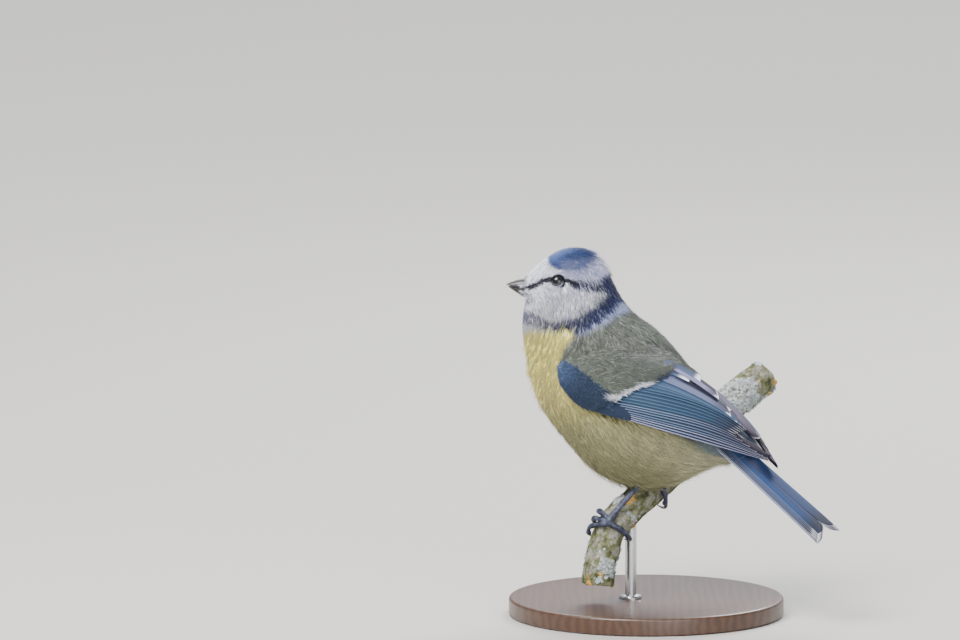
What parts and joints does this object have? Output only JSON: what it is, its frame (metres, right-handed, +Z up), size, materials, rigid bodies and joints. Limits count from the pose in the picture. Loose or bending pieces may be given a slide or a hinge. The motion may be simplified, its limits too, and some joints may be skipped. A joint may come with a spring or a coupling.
{
  "type": "small perched bird model",
  "caption": "Life-size small songbird with blue cap and yellow breast, gripping a cut length of branch on a small display stand.",
  "frame": {"origin": "centre of the underside of the stand's round base", "axes": "+Z up; +X towards the tail's side of the view, with the bird's bill pointing to -X and a little to +Y"},
  "size_m": [0.0912, 0.076, 0.1019],
  "materials": {
    "head_feathers": "soft feathers",
    "neck_feathers": "soft feathers",
    "body_feathers": "soft feathers",
    "wing_feathers": "smooth feathers",
    "tail_feathers": "smooth feathers",
    "eye": "wet gloss",
    "horn": "satin horn",
    "claw_horn": "satin horn",
    "leg_skin": "scaly skin",
    "bark": "rough bark with lichen",
    "dark_wood": "polished",
    "rod_steel": "satin"
  },
  "bodies": {
    "root": {"head": "head_feathers", "neck": "neck_feathers", "torso": "body_feathers", "eye_left": "eye", "eye_right": "eye", "bill_upper": "horn", "bill_lower": "horn", "wing_left": "wing_feathers", "wing_right": "wing_feathers", "tail": "tail_feathers", "leg_left": "leg_skin", "leg_right": "leg_skin", "claw_left_inner": "claw_horn", "claw_left_middle": "claw_horn", "claw_left_outer": "claw_horn", "claw_left_hind": "claw_horn", "claw_right_inner": "claw_horn", "claw_right_middle": "claw_horn", "claw_right_outer": "claw_horn", "claw_right_hind": "claw_horn", "perch": "bark", "stand_base": "dark_wood", "stand_rod": "rod_steel"}
  },
  "joints": []
}
